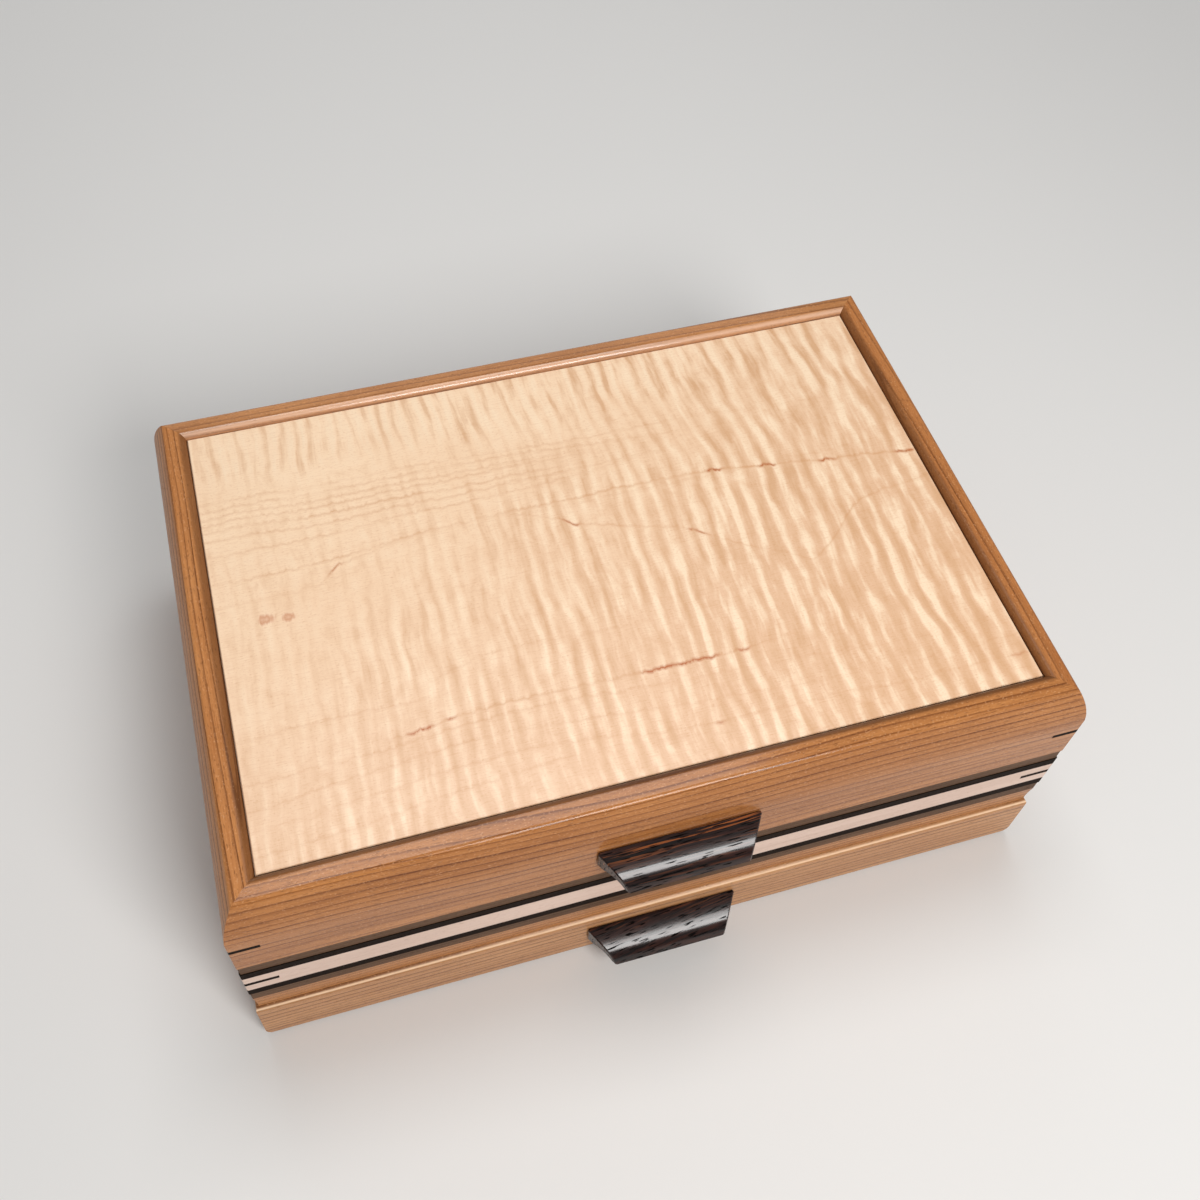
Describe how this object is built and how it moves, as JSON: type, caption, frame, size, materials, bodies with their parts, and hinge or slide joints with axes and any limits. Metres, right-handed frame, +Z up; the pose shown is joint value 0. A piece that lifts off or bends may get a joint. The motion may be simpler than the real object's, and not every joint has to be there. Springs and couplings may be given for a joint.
{
  "type": "jewelry chest",
  "caption": "Low hardwood jewelry chest with a hinged panelled lid, a laminated contrasting band, a drawer in the base and a sliding inner tray.",
  "frame": {"origin": "middle of the felt's underside, under the middle of the chest's outline", "axes": "+X along the width to the viewer's right, +Y to the back, where the hinges are, +Z up"},
  "size_m": [0.3056, 0.2298, 0.1141],
  "materials": {
    "cherry": "satin oiled cherry",
    "curly_maple": "satin oiled curly maple",
    "band_maple": "satin oiled maple",
    "walnut": "satin oiled walnut",
    "wenge": "satin oiled wenge",
    "dark_pull_wood": "satin oiled, dark and coarse grained",
    "inner_maple": "matt maple",
    "plywood": "matt birch plywood",
    "suede": "dark brown faux suede",
    "felt": "dark brown felt",
    "brass": "satin brass"
  },
  "bodies": {
    "case": {"band_corner_splines": "wenge", "base_felt": "felt", "case_bottom": "plywood", "case_header_front": "cherry", "case_wall_back": "cherry", "case_wall_left": "cherry", "case_wall_right": "cherry", "compartment_floor": "plywood", "compartment_lining": "suede", "drawer_runner_left": "inner_maple", "drawer_runner_right": "inner_maple", "hinge_leaf_case_left": "brass", "hinge_leaf_case_right": "brass", "hinge_pins": "brass", "hinge_screws_case": "brass", "maple_band_back": "band_maple", "maple_band_front": "band_maple", "maple_band_left": "band_maple", "maple_band_right": "band_maple", "tray_ledge_back": "inner_maple", "tray_ledge_front": "inner_maple", "walnut_strips_back": "walnut", "walnut_strips_front": "walnut", "walnut_strips_left": "walnut", "walnut_strips_right": "walnut", "well_divider": "inner_maple", "wenge_strips_back": "wenge", "wenge_strips_front": "wenge", "wenge_strips_left": "wenge", "wenge_strips_right": "wenge"},
    "lid": {"hinge_leaf_lid_left": "brass", "hinge_leaf_lid_right": "brass", "hinge_screws_lid": "brass", "lid_corner_splines": "wenge", "lid_lining": "suede", "lid_panel": "curly_maple", "lid_pull": "dark_pull_wood", "lid_rail_back": "cherry", "lid_rail_front": "cherry", "lid_rail_left": "cherry", "lid_rail_right": "cherry"},
    "drawer": {"drawer_back": "inner_maple", "drawer_bottom": "plywood", "drawer_divider_long": "inner_maple", "drawer_dividers_cross": "inner_maple", "drawer_front": "cherry", "drawer_lining": "suede", "drawer_pull": "dark_pull_wood", "drawer_side_left": "inner_maple", "drawer_side_right": "inner_maple"},
    "tray": {"ring_rolls": "suede", "tray_back": "inner_maple", "tray_bottom": "plywood", "tray_divider_short": "inner_maple", "tray_divider_wide": "inner_maple", "tray_front": "inner_maple", "tray_left": "inner_maple", "tray_lining": "suede", "tray_right": "inner_maple"}
  },
  "joints": [
    {"name": "lid_hinge", "type": "hinge", "parent": "case", "child": "lid", "pos_m": [0, 0.108, 0.07385], "axis": [-1, 0, 0], "range_deg": [0, 95]},
    {"name": "drawer_slide", "type": "slide", "parent": "case", "child": "drawer", "axis": [0, -1, 0], "range_m": [0, 0.15]},
    {"name": "tray_slide", "type": "slide", "parent": "case", "child": "tray", "axis": [1, 0, 0], "range_m": [0, 0.14]}
  ]
}
